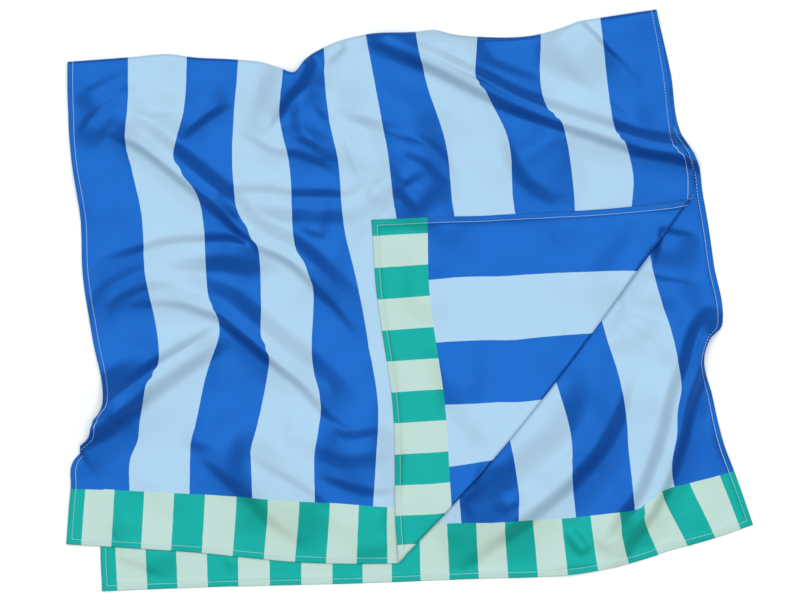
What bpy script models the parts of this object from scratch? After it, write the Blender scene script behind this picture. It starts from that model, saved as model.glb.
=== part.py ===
"""Beach towel: one hemmed cloth, folded in half, laid flat with its upper corner turned back.

The cloth is first a flat grid. Its rows are laid out on the table by the two tables of
sections, one for each half, and drawn in towards the folds of the fold table. Then the cloth
is rounded over at the top, its corner is turned back and its folds are raised.
Sizes below are in millimetres, seen from above: x to the right, y away from the viewer, z up.
The objects themselves are in metres.
"""
from collections import namedtuple
from math import pi

import bmesh
import bpy
import numpy as np

MM = 0.001

# ---- the cloth as cut and hemmed ----
TOWEL_WIDTH = 900.0
TOWEL_LENGTH = 1500.0
CLOTH = 1.5                      # thickness
STRIPES = 11
STRIPE = TOWEL_WIDTH / STRIPES
BLUE = (0.015, 0.136, 0.533, 1.0)
CLOTH_ROUGHNESS = 0.6

# ---- how it is folded ----
LOWER_LENGTH = 762.0             # cloth from the lower hem to the middle of the top fold
UPPER_LENGTH = TOWEL_LENGTH - LOWER_LENGTH
LAYER_GAP = 2.2                  # clear space between layers that lie on each other
ROLL_RADIUS = 5.2                # outside of the soft fold at the top
TURN_RADIUS = CLOTH / (pi / 2 - 1)   # inside of the corner's turn, whose edge then shows on its line
ROLL_SETTLE = 60.0               # how far from a fold the upper layer comes to rest
TURN_SETTLE = 70.0
UPPER_FACE = 2 * CLOTH + LAYER_GAP   # height of the upper half's face where it lies flat

# The corner's fold line runs between two points and bows out to the lower right.
TURN_START = (389.0, 134.0)
TURN_END = (-12.0, -362.0)
TURN_BOW = 14.0
TURN_BOW_LEAN = 1.3              # above 1, the bow is fullest nearer the end

# The top fold's edge: the stripe line it has reached, counted from the left, and the place.
Edge = namedtuple("Edge", "line x y")
TOP_EDGE = (
    Edge(0, -445, 319), Edge(1, -364, 325), Edge(1.7, -307, 329), Edge(2, -285, 326),
    Edge(3, -217, 322), Edge(3.3, -193, 320), Edge(4, -158, 309.5), Edge(4.25, -142, 305),
    Edge(4.55, -126, 323), Edge(5, -102, 338), Edge(6, -46, 355.5), Edge(7, 21, 359.5),
    Edge(7.3, 47, 362), Edge(7.6, 70, 357), Edge(8, 105, 354), Edge(9, 189, 357),
    Edge(9.35, 217, 365), Edge(9.62, 239, 373), Edge(10, 268, 378), Edge(11, 343, 389),
)

# A section is a straight row of the cloth as it lies: the share of the way down from the top
# fold to the hem, and where the row crosses stripe lines 0, 2, 4, 6, 8, 10 and 11.
Section = namedtuple("Section", "share line_0 line_2 line_4 line_6 line_8 line_10 line_11")
SECTION_LINES = (0, 2, 4, 6, 8, 10, 11)

# The upper half, as it would lie with its corner not yet turned back.
UPPER_SECTIONS = (
    Section(0.10, (-445, 258), (-287, 262), (-160, 245), (-32, 281), (107, 284), (278, 299), (359, 308)),
    Section(0.21, (-440, 188), (-296, 191), (-146, 174), (-18, 204), (143, 210), (293, 222), (370, 228)),
    Section(0.33, (-428, 111), (-272, 112), (-139, 96), (-7, 122), (152, 129), (311, 160), (388, 168)),
    Section(0.45, (-425, 35), (-260, 34), (-119, 18), (8, 38), (168, 48), (309, 90), (392, 112)),
    Section(0.58, (-413, -48), (-247, -51), (-115, -66), (33, -50), (180, -39), (331, -10), (407, 12)),
    Section(0.71, (-404, -131), (-265, -135), (-107, -150), (47, -142), (191, -127), (352, -108),
            (426, -87)),
    Section(0.76, (-411, -166), (-273, -168), (-111, -182), (49, -178), (195, -165), (359, -146),
            (433, -125)),
    Section(0.80, (-413, -192), (-280, -194), (-115, -208), (50, -206), (198, -195), (364, -177),
            (439, -156)),
    Section(0.83, (-434, -211), (-281, -214), (-115, -227), (48, -228), (201, -216), (368, -199),
            (443, -179)),
    Section(0.90, (-441, -254), (-282, -261), (-114, -272), (42, -280), (209, -265), (376, -251),
            (454, -232)),
    Section(1.00, (-447, -327), (-286, -337), (-120, -352), (46, -350), (217, -331), (386, -321),
            (469, -307)),
)
LOWER_SECTIONS = (
    Section(0.10, (-437, 255), (-284, 259), (-154, 265), (-28, 272), (111, 284), (283, 299), (362, 308)),
    Section(0.20, (-423, 181), (-281, 181), (-145, 184), (-15, 190), (145, 204), (307, 218), (377, 226)),
    Section(0.24, (-419, 152), (-276, 152), (-141, 154), (-11, 159), (151, 172), (313, 185), (393, 198)),
    Section(0.31, (-411, 101), (-268, 101), (-135, 101), (-3, 105), (161, 117), (324, 127), (407, 134)),
    Section(0.43, (-405, 20), (-260, 20), (-125, 20), (13, 23), (176, 29), (338, 44), (420, 51)),
    Section(0.56, (-394, -60), (-249, -60), (-113, -60), (34, -67), (194, -59), (358, -47), (430, -37)),
    Section(0.61, (-390, -96), (-245, -96), (-107, -96), (43, -103), (205, -97), (364, -86), (416, -75)),
    Section(0.68, (-386, -147), (-241, -147), (-99, -147), (54, -154), (221, -151), (369, -141),
            (425, -127)),
    Section(0.80, (-391, -221), (-240, -221), (-88, -221), (74, -221), (229, -214), (372, -201),
            (437, -192)),
    Section(0.90, (-401, -315), (-239, -311), (-72, -308), (82, -297), (236, -291), (377, -253),
            (449, -229)),
    Section(1.00, (-399, -390), (-237, -384), (-70, -380), (86, -374), (245, -366), (406, -325),
            (473, -301)),
)

# A fold is a ridge in the cloth: its name, the line of its crest, its height, the width of the
# side on the left hand and on the right hand of someone walking the line, the share of the
# line over which it rises and dies away, and its share of the height in the lower half, the
# upper half and the turned corner. It also narrows towards its end, by taper, and takes up
# cloth, which comes from as far as spread.
Fold = namedtuple("Fold", "name crest height left right rise die lower upper corner taper take spread")
FOLDS = (
    Fold("shoulder", ((-46, 350), (40, 321), (76, 304), (107, 289), (152, 267), (201, 249), (268, 227),
                      (324, 209), (380, 198), (429, 177)),
         18, 13, 12, 0.3, 0.05, 0.6, 1, 1, 1.0, 9.0, 23),
    Fold("centre_arc", ((-54, 232), (-18, 219), (0, 213), (22, 208), (40, 199), (54, 185), (64, 162),
                        (72, 140)),
         9, 10.5, 44, 0.3, 0.5, 0, 1, 1, 1.0, 1.5, 18),
    Fold("centre_curl", ((-26, 146), (-11, 154), (2, 155), (11, 147), (27, 132), (42, 114)),
         6.5, 12, 12, 0.35, 0.35, 0, 1, 1, 1.0, 2.0, 11),
    Fold("long_ridge", ((-400, 238), (-345, 212), (-318, 192), (-275, 157), (-240, 128), (-195, 86),
                        (-138, 54), (-103, 20), (-80, -2), (-54, -36), (-20, -78)),
         15.5, 20, 10.5, 0.14, 0.45, 0.2, 1, 1, 1.0, 12.9, 22),
    Fold("left_nick", ((-432, 206), (-420, 223), (-411, 237), (-395, 252), (-377, 261), (-335, 271)),
         7, 9, 18, 0.3, 0.5, 0, 1, 1, 1.0, 1.3, 14),
    Fold("upper_left", ((-308, 212), (-290, 228), (-274, 242), (-259, 253), (-241, 264), (-220, 270)),
         8, 30, 8, 0.45, 0.35, 0, 1, 1, 1.0, 1.8, 16),
    Fold("notch", ((-128, 330), (-143, 294), (-161, 272), (-170, 255), (-181, 238), (-194, 218)),
         10.5, 15, 30, 0.1, 0.4, 0.4, 1, 1, 0.5, 2.0, 20),
    Fold("chest", ((-228, 238), (-206, 229), (-188, 221), (-170, 210), (-136, 205), (-98, 190),
                   (-76, 172), (-66, 158)),
         6, 20, 10, 0.3, 0.4, 0, 1, 1, 1.0, 2.7, 15),
    Fold("chest_curl", ((-100, 286), (-109, 272), (-123, 259), (-121, 230), (-107, 219), (-89, 205),
                        (-80, 190), (-87, 172)),
         7, 30, 15, 0.3, 0.5, 0, 1, 1, 1.0, 1.3, 14),
    Fold("belt", ((-246, 114), (-237, 127), (-219, 136), (-188, 138), (-145, 133), (-100, 132), (-62, 133),
                  (-44, 147), (-29, 165), (-14, 176)),
         9.5, 11, 20, 0.2, 0.45, 0, 1, 1, 1.0, 4.2, 17),
    Fold("left_swell", ((-438, 32), (-404, 43), (-360, 54), (-340, 60), (-317, 67), (-266, 72), (-232, 73),
                        (-210, 68), (-188, 60), (-160, 40)),
         14, 10.5, 24, 0.6, 0.25, 0.2, 1, 1, 1.0, 3.2, 17),
    Fold("hip_ridge", ((-405, -10), (-372, 1), (-335, 6), (-290, 3), (-261, -7), (-243, -13), (-210, -38),
                       (-165, -76), (-121, -112), (-96, -141), (-80, -154), (-62, -162), (-40, -161),
                       (0, -153)),
         17.5, 26, 11, 0.45, 0.5, 0.2, 1, 1, 1.0, 11.2, 21),
    Fold("left_ridge", ((-440, -180), (-402, -158), (-384, -141), (-344, -109), (-310, -85), (-277, -65),
                        (-248, -47), (-220, -34)),
         17, 13, 24, 0.5, 0.3, 0.2, 1, 1, 0.7, 11, 20),
    Fold("left_root", ((-440, -180), (-402, -158), (-384, -141), (-344, -109), (-318, -91)),
         20, 28, 18, 0.02, 0.6, 0.2, 1, 1, 1.0, 9, 20),
    Fold("hip_tail", ((-112, -160), (-103, -172), (-92, -185), (-76, -193), (-58, -192), (-13, -185),
                      (5, -182)),
         7.5, 13, 22, 0.35, 0.4, 0, 1, 1, 1.0, 1.6, 11),
    Fold("lower_swell", ((-268, -190), (-239, -218), (-194, -255), (-167, -284), (-132, -311), (-100, -332)),
         10, 50, 13, 0.3, 0.45, 0, 1, 1, 1.0, 0.4, 24),
    Fold("middle_swell", ((-118, -222), (-84, -234), (-57, -243), (-32, -247), (20, -240)),
         5.5, 40, 10, 0.3, 0.4, 0, 1, 1, 1.0, 0.3, 20),
    Fold("right_ridge", ((436, -14), (413, -37), (394, -90), (378, -134), (367, -182), (351, -230),
                         (330, -276), (303, -311), (280, -352), (268, -372)),
         19, 13, 16, 0.12, 0.3, 1, 0, 0, 1.0, 13.1, 20),
    Fold("corner_ridge", ((314, -50), (302, -80), (281, -142), (255, -190), (214, -236), (166, -276),
                          (120, -310), (62, -348), (40, -356)),
         23, 17, 44, 0.4, 0.35, 1, 0, 0, 1.0, 3.4, 19),
)
FOLD_BROW = 0.4                  # a fold's side turns steep at this many widths from its crest,
FOLD_FOOT = 1.6                  # gentle again here
FOLD_REACH = 4.0                 # and ends here
STEEP_PART = 0.7                 # share of the height that falls in the steep part
TAKE_WITHIN = 0.6                # the cloth is drawn in within this many widths of the crest
TAKE_REACH = 3.2                 # and from as far as this, in spreads
TAKE_END = 7.0
CREST_STEPS = 6                  # straight steps between two points of a crest

# ---- the grid ----
COLUMNS = 27
LOWER_ROWS = 22
UPPER_ROWS = 22
ROUND_STEPS = 4                  # steps round a fold of the cloth
SAGS = (1.9, 2.9)                # cells that would sag by more are cut finer, in as many rounds
SAMPLES = (0.25, 0.5, 0.75)      # where in a cell that is measured
SNAP = 0.5                       # corners this near a line of the turn are moved onto it


def smooth_step(share):
    """0 to 1 with level ends, as share goes from 0 to 1."""
    share = np.clip(share, 0.0, 1.0)
    return share * share * (3.0 - 2.0 * share)


def curve_through(knots, points, places):
    """The smooth curve that passes the points at the knots, read at places.

    Where the points come in rows, one for each knot, each place reads its own column of them.
    """
    knots = np.asarray(knots, float)
    points = np.asarray(points, float)
    slopes = np.gradient(points, knots, axis=0)
    left = np.clip(np.searchsorted(knots, places, side="right") - 1, 0, len(knots) - 2)
    span = (knots[left + 1] - knots[left])[:, None]
    way = (places - knots[left])[:, None] / span
    back = 1.0 - way
    first, last = left, left + 1
    if points.ndim == 3:
        columns = np.arange(len(places))
        first, last = (first, columns), (last, columns)
    return (back * back * (1.0 + 2.0 * way) * points[first]
            + way * way * (1.0 + 2.0 * back) * points[last]
            + way * back * span * (back * slopes[first] - way * slopes[last]))


def crest_line(fold):
    """The crest as a smooth line of short steps."""
    points = np.asarray(fold.crest, float)
    knots = np.insert(np.cumsum(np.linalg.norm(np.diff(points, axis=0), axis=1)), 0, 0.0)
    return curve_through(knots, points, np.linspace(0.0, knots[-1], CREST_STEPS * (len(points) - 1) + 1))


def off_crest(places, crest):
    """For each place: its distance from the crest, the way out, its side and the share passed."""
    steps = np.diff(crest, axis=0)
    reach = places[:, None] - crest[:-1]
    way = np.clip((reach * steps).sum(2) / (steps ** 2).sum(1), 0.0, 1.0)
    gaps = reach - way[..., None] * steps
    nearest = (gaps ** 2).sum(2).argmin(1)
    rows = np.arange(len(places))
    gap = gaps[rows, nearest]
    distance = np.linalg.norm(gap, axis=1)
    step = steps[nearest]
    on_left = step[:, 0] * gap[:, 1] - step[:, 1] * gap[:, 0] > 0.0
    share = (nearest + way[rows, nearest]) / len(steps)
    return distance, gap / np.maximum(distance, MM)[:, None], on_left, share


def in_reach(fold, places, reach):
    """The places that lie less than this far outside the box round a fold's crest."""
    crest = np.array(fold.crest)
    return np.all((places > crest.min(0) - reach) & (places < crest.max(0) + reach), axis=1)


def rise(fold, share):
    """How much of a fold's full height it has at this share of its line."""
    return smooth_step(share / fold.rise) * smooth_step((1.0 - share) / fold.die)


def drawn_in(places, half):
    """Where the cloth of one half comes to lie, as its folds draw it towards their crests."""
    moved = places.copy()
    for fold in FOLDS:
        part = getattr(fold, half)
        near = in_reach(fold, places, TAKE_END * fold.spread)
        if part > 0.0 and near.any():
            distance, outward, _, share = off_crest(places[near], crest_line(fold))
            taken = fold.take * (part * rise(fold, share)) ** 2
            within = max(fold.take, TAKE_WITHIN * min(fold.left, fold.right))
            pull = 1.0 - np.exp(-(distance / within) ** 2)
            pull *= np.exp(-(distance / (TAKE_REACH * fold.spread)) ** 2)
            moved[near] -= outward * (taken * pull)[:, None]
    return moved


def relief(places, upper, corner):
    """Height of the folds: upper and corner say how far each place is into those layers.

    A layer that lies on another carries its folds as well as its own.
    """
    total = np.zeros(len(places))
    for fold in FOLDS:
        near = in_reach(fold, places, FOLD_REACH * max(fold.left, fold.right))
        if not near.any():
            continue
        distance, _, on_left, share = off_crest(places[near], crest_line(fold))
        width = np.where(on_left, fold.left, fold.right) * (1.0 - (1.0 - fold.taper) * share)
        steep = smooth_step((FOLD_FOOT - distance / width) / (FOLD_FOOT - FOLD_BROW))
        side = STEEP_PART * steep + (1.0 - STEEP_PART) * smooth_step(1.0 - distance / (FOLD_REACH * width))
        in_upper = max(fold.lower, fold.upper)
        in_corner = max(in_upper, fold.corner)
        part = fold.lower + (in_upper - fold.lower) * upper[near] + (in_corner - in_upper) * corner[near]
        total[near] += part * side * fold.height * rise(fold, share)
    return total


def half_on_table(across, along, half):
    """Places of one half of the cloth, before the corner is turned. Along starts at the hem."""
    quarter = ROLL_RADIUS * pi / 2
    from_fold = np.abs(along - LOWER_LENGTH)
    rounding = ROLL_RADIUS * (1.0 - np.cos(np.minimum(from_fold, quarter) / ROLL_RADIUS))
    down = rounding + np.maximum(from_fold - quarter, 0.0)
    cloth, sections = ((LOWER_LENGTH, LOWER_SECTIONS) if half == "lower" else (UPPER_LENGTH, UPPER_SECTIONS))
    edge = np.array(TOP_EDGE)
    rows = [curve_through(edge[:, 0] * STRIPE, edge[:, 1:], across)]
    lines = np.array(SECTION_LINES) * STRIPE
    rows += [curve_through(lines, section[1:], across) for section in sections]
    shares = [0.0] + [section.share for section in sections]
    share = down / (cloth - quarter + ROLL_RADIUS)
    return drawn_in(curve_through(shares, np.stack(rows), share), half)


def turn_frame():
    """The corner's fold line: its start, its direction, the way out of the towel, its length."""
    start = np.array(TURN_START)
    run = np.array(TURN_END) - start
    length = np.linalg.norm(run)
    direction = run / length
    return start, direction, np.array((-direction[1], direction[0])), length


def turn_bow(passed, length):
    """How far the fold line bows out, this far along it."""
    return TURN_BOW * np.sin(pi * np.clip(passed / length, 0.0, 1.0) ** TURN_BOW_LEAN)


def staged(across, along):
    """Places on the flat cloth as (passed, beyond): along the corner's fold line, and out past it."""
    places = np.empty((len(across), 2))
    for half, inside in (("lower", along < LOWER_LENGTH), ("upper", along >= LOWER_LENGTH)):
        places[inside] = half_on_table(across[inside], along[inside], half)
    start, direction, outward, length = turn_frame()
    passed = (places - start) @ direction
    return passed, (places - start) @ outward - turn_bow(passed, length)


def from_turn(passed, beyond):
    """The places on the table of such pairs."""
    start, direction, outward, length = turn_frame()
    out = beyond + turn_bow(passed, length)
    return start + passed[:, None] * direction + out[:, None] * outward


def raised(passed, beyond, along):
    """The cloth's face in space, for its places before the corner is turned."""
    quarter = TURN_RADIUS * pi / 2
    upper_half = along > LOWER_LENGTH
    past = np.where(upper_half, beyond, -np.inf)
    angle = np.clip(past / TURN_RADIUS, -pi / 2, pi / 2)
    edge = TURN_RADIUS * (np.cos(angle) - 1.0) - CLOTH
    turned = np.where(np.abs(past) < quarter, edge, -np.abs(beyond))
    places = from_turn(passed, np.where(upper_half, turned, beyond))

    roll = (along - LOWER_LENGTH) / ROLL_RADIUS
    upper = smooth_step(roll / pi + 0.5)
    corner = smooth_step(angle / pi + 0.5)
    rolled = ROLL_RADIUS * (1.0 + np.sin(np.clip(roll, -pi / 2, pi / 2)))
    off_roll = np.maximum(along - LOWER_LENGTH - ROLL_RADIUS * pi / 2, 0.0)
    settled = np.exp(-(off_roll / ROLL_SETTLE) ** 2)
    base = np.where(roll > pi / 2, UPPER_FACE + (2 * ROLL_RADIUS - UPPER_FACE) * settled, rolled)
    turn = TURN_RADIUS * (1.0 + np.sin(angle))
    off_turn = np.maximum(past - quarter, 0.0)
    rest = LAYER_GAP + (2 * TURN_RADIUS - LAYER_GAP) * np.exp(-(off_turn / TURN_SETTLE) ** 2)
    lift = np.where(past > quarter, rest, turn)
    return np.column_stack((places, base + lift + relief(places, upper, corner)))


def cloth_grid():
    """The flat cloth as a grid, with each corner at (across, along), closer round the top fold."""
    quarter = ROLL_RADIUS * pi / 2
    across = np.linspace(0.0, TOWEL_WIDTH, COLUMNS + 1)
    lower = np.linspace(0.0, LOWER_LENGTH - quarter, LOWER_ROWS + 1)
    rounded = np.linspace(LOWER_LENGTH - quarter, LOWER_LENGTH + quarter, ROUND_STEPS + 1)
    upper = np.linspace(LOWER_LENGTH + quarter, TOWEL_LENGTH, UPPER_ROWS + 1)
    along = np.concatenate((lower, rounded[1:-1], upper))
    grid = bmesh.new()
    bmesh.ops.create_grid(grid, x_segments=COLUMNS, y_segments=len(along) - 1, size=0.5)
    for corner in grid.verts:
        column = round((corner.co.x + 0.5) * COLUMNS)
        row = round((corner.co.y + 0.5) * (len(along) - 1))
        corner.co = (across[column], along[row], 0.0)
    return grid


def heights(flat):
    """Height of the cloth's face at places on the flat cloth."""
    return raised(*staged(*flat.T), flat[:, 1])[:, 2]


def cut_finer(grid, sag):
    """Cuts in four each cell in which the cloth rises or dips from its corners by more than sag."""
    cells = [face for face in grid.faces if len(face.verts) == 4]
    boxes = np.array([[corner.co.xy for corner in face.verts] for face in cells])
    low, high = boxes.min(1), boxes.max(1)
    left_low, right_low = heights(low), heights(np.column_stack((high[:, 0], low[:, 1])))
    left_high, right_high = heights(np.column_stack((low[:, 0], high[:, 1]))), heights(high)
    off = np.zeros(len(cells))
    for x in SAMPLES:
        for y in SAMPLES:
            level_low = left_low * (1 - x) + right_low * x
            level_high = left_high * (1 - x) + right_high * x
            level = level_low * (1 - y) + level_high * y
            off = np.maximum(off, np.abs(heights(low + (high - low) * (x, y)) - level))
    edges = {edge for face, over in zip(cells, off > sag) if over for edge in face.edges}
    bmesh.ops.subdivide_edges(grid, edges=list(edges), cuts=1, use_grid_fill=True)


def cut_turn(grid):
    """Cuts rows of edges along the corner's fold, round which the cloth bends."""
    quarter = TURN_RADIUS * pi / 2
    for beyond in np.linspace(-quarter, quarter, ROUND_STEPS + 1):
        faces = [face for face in grid.faces if face.calc_center_median().z > LOWER_LENGTH]
        corners = {corner for face in faces for corner in face.verts}
        edges = {edge for face in faces for edge in face.edges}
        for corner in corners:
            if abs(corner.co.y - beyond) < SNAP:
                corner.co.y = beyond
        bmesh.ops.bisect_plane(grid, geom=list(corners) + list(edges) + faces, dist=MM,
                               plane_co=(0.0, beyond, 0.0), plane_no=(0.0, 1.0, 0.0))


def towel_mesh():
    """The towel as one closed sheet."""
    sheet = cloth_grid()
    for sag in SAGS:
        cut_finer(sheet, sag)
    flat = np.array([corner.co for corner in sheet.verts])
    for corner, passed, beyond in zip(sheet.verts, *staged(flat[:, 0], flat[:, 1])):
        corner.co = (passed, beyond, corner.co.y)
    cut_turn(sheet)
    bmesh.ops.triangulate(sheet, faces=sheet.faces)
    stage = np.array([corner.co for corner in sheet.verts])
    for corner, point in zip(sheet.verts, raised(*stage.T)):
        corner.co = point * MM
    bmesh.ops.recalc_face_normals(sheet, faces=sheet.faces)
    bmesh.ops.solidify(sheet, geom=list(sheet.faces), thickness=CLOTH * MM)
    mesh = bpy.data.meshes.new("towel")
    sheet.to_mesh(mesh)
    sheet.free()
    return mesh


def towel_material():
    """Smooth blue cloth."""
    material = bpy.data.materials.new("towel_cloth")
    material.use_nodes = True
    shader = material.node_tree.nodes["Principled BSDF"]
    shader.inputs["Base Color"].default_value = BLUE
    shader.inputs["Roughness"].default_value = CLOTH_ROUGHNESS
    shader.inputs["Metallic"].default_value = 0.0
    return material


def main():
    for old in list(bpy.data.objects):
        bpy.data.objects.remove(old)
    mesh = towel_mesh()
    mesh.shade_smooth()
    mesh.materials.append(towel_material())
    bpy.context.scene.collection.objects.link(bpy.data.objects.new("towel", mesh))


main()
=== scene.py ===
"""Beach towel: one hemmed cloth, folded in half, laid flat with its upper corner turned back.

The cloth is a sheet that starts as a flat grid. Its rows are laid out on the table by the two
tables of sections, one for each half, and drawn in towards the folds of the fold tables. Then
the cloth is rounded over at the top, its corner is turned back and its folds are raised.
The tables are in millimetres, seen from above: x to the right, y away from the viewer, z up.
The objects themselves are in metres.
"""
from collections import namedtuple
from math import pi, radians

import bmesh
import bpy
import numpy as np
from bpy.props import FloatProperty, FloatVectorProperty, PointerProperty
from mathutils import Matrix, Vector, noise


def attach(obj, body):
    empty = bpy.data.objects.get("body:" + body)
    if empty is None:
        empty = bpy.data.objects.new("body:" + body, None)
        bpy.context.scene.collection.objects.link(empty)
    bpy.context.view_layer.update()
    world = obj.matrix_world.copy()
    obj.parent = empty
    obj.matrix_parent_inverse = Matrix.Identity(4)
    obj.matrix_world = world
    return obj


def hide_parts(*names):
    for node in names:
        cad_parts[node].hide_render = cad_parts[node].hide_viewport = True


bl_info = {
    "name": "Folded Beach Towel",
    "version": (1, 0, 0),
    "blender": (4, 5, 0),
    "location": "3D View > Sidebar > Towel",
    "description": "Builds a hemmed and striped beach towel, folded and laid flat",
    "category": "Add Mesh",
}

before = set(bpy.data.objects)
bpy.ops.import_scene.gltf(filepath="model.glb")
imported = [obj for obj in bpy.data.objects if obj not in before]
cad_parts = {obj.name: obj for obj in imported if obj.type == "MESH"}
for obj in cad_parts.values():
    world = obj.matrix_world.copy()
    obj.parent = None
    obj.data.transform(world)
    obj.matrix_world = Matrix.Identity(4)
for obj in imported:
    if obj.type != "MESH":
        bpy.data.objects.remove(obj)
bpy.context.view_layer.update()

MM = 0.001

# ---- the cloth as cut and hemmed ----
TOWEL_WIDTH = 900.0
TOWEL_LENGTH = 1500.0
STRIPES = 11
STRIPE = TOWEL_WIDTH / STRIPES

# ---- how it is folded ----
LOWER_LENGTH = 762.0             # cloth from the lower hem to the middle of the top fold
UPPER_LENGTH = TOWEL_LENGTH - LOWER_LENGTH
UPPER_FACE = 4.2                 # height of the upper half's face where it lies flat
ROLL_RADIUS = 4.6                # outside of the soft fold at the top
TURN_RADIUS = 2.6                # inside of the corner's turn
TURN_REST = 0.6                  # gap between the turned corner and the cloth under it
ROLL_SETTLE = 60.0               # how far from a fold the upper layer comes to rest
TURN_SETTLE = 70.0

# The corner's fold line runs between two points and bows out to the lower right.
TURN_START = (389.0, 134.0)
TURN_END = (-12.0, -362.0)
TURN_BOW = 14.0
TURN_BOW_LEAN = 1.3              # above 1, the bow is fullest nearer the end

# The top fold's edge: the stripe line it has reached, counted from the left, and the place.
Edge = namedtuple("Edge", "line x y")
TOP_EDGE = (
    Edge(0, -445, 319), Edge(1, -364, 325), Edge(1.7, -307, 329), Edge(2, -285, 326),
    Edge(3, -217, 322), Edge(3.3, -193, 320), Edge(4, -158, 309.5), Edge(4.25, -142, 305),
    Edge(4.55, -126, 323), Edge(5, -102, 338), Edge(6, -46, 355.5), Edge(7, 21, 359.5),
    Edge(7.3, 47, 362), Edge(7.6, 70, 357), Edge(8, 105, 354), Edge(9, 189, 357),
    Edge(9.35, 217, 365), Edge(9.62, 239, 373), Edge(10, 268, 378), Edge(11, 343, 389),
)

# A section is a straight row of the cloth as it lies: the share of the way down from the top
# fold to the hem, and where the row crosses stripe lines 0, 2, 4, 6, 8, 10 and 11.
Section = namedtuple("Section", "share line_0 line_2 line_4 line_6 line_8 line_10 line_11")
SECTION_LINES = (0, 2, 4, 6, 8, 10, 11)

# The upper half, as it would lie with its corner not yet turned back.
UPPER_SECTIONS = (
    Section(0.10, (-445, 258), (-287, 262), (-160, 245), (-32, 281), (107, 284), (278, 299), (359, 308)),
    Section(0.21, (-440, 188), (-296, 191), (-146, 174), (-18, 204), (143, 210), (293, 222), (370, 228)),
    Section(0.33, (-428, 111), (-272, 112), (-139, 96), (-7, 122), (152, 129), (311, 160), (388, 168)),
    Section(0.45, (-425, 35), (-260, 34), (-119, 18), (8, 38), (168, 48), (309, 90), (392, 112)),
    Section(0.58, (-413, -48), (-247, -51), (-115, -66), (33, -50), (180, -39), (331, -10), (407, 12)),
    Section(0.71, (-404, -131), (-265, -135), (-107, -150), (47, -142), (191, -127), (352, -108),
            (427, -87)),
    Section(0.76, (-411, -166), (-273, -168), (-111, -182), (49, -178), (195, -165), (359, -146),
            (435, -125)),
    Section(0.80, (-413, -192), (-280, -194), (-115, -208), (50, -206), (201, -194), (366, -176),
            (441, -156)),
    Section(0.83, (-434, -211), (-281, -214), (-115, -227), (48, -228), (204, -215), (371, -198),
            (446, -178)),
    Section(0.90, (-441, -254), (-282, -261), (-114, -272), (42, -280), (212, -264), (379, -250),
            (458, -231)),
    Section(1.00, (-447, -327), (-286, -337), (-120, -352), (46, -350), (220, -330), (390, -320),
            (473, -306)),
)
LOWER_SECTIONS = (
    Section(0.10, (-437, 255), (-284, 259), (-154, 265), (-28, 272), (111, 284), (283, 299), (362, 308)),
    Section(0.20, (-423, 181), (-281, 181), (-145, 184), (-15, 190), (145, 204), (307, 218), (377, 226)),
    Section(0.24, (-419, 152), (-276, 152), (-141, 154), (-11, 159), (151, 172), (313, 185), (393, 198)),
    Section(0.31, (-411, 101), (-268, 101), (-135, 101), (-3, 105), (161, 117), (324, 127), (407, 134)),
    Section(0.43, (-405, 20), (-260, 20), (-125, 20), (13, 23), (176, 29), (338, 44), (420, 51)),
    Section(0.56, (-394, -60), (-249, -60), (-113, -60), (34, -67), (194, -59), (358, -47), (430, -37)),
    Section(0.61, (-390, -96), (-245, -96), (-107, -96), (43, -103), (205, -97), (364, -86), (416, -75)),
    Section(0.68, (-386, -147), (-241, -147), (-99, -147), (54, -154), (221, -151), (369, -141),
            (425, -127)),
    Section(0.80, (-391, -221), (-240, -221), (-88, -221), (74, -221), (229, -214), (372, -201),
            (437, -192)),
    Section(0.90, (-401, -315), (-239, -311), (-72, -308), (82, -297), (236, -291), (377, -253),
            (449, -229)),
    Section(1.00, (-399, -390), (-237, -384), (-70, -380), (86, -374), (245, -366), (406, -325),
            (473, -301)),
)

HALVES = {"lower": (LOWER_LENGTH, LOWER_SECTIONS), "upper": (UPPER_LENGTH, UPPER_SECTIONS)}

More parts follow.
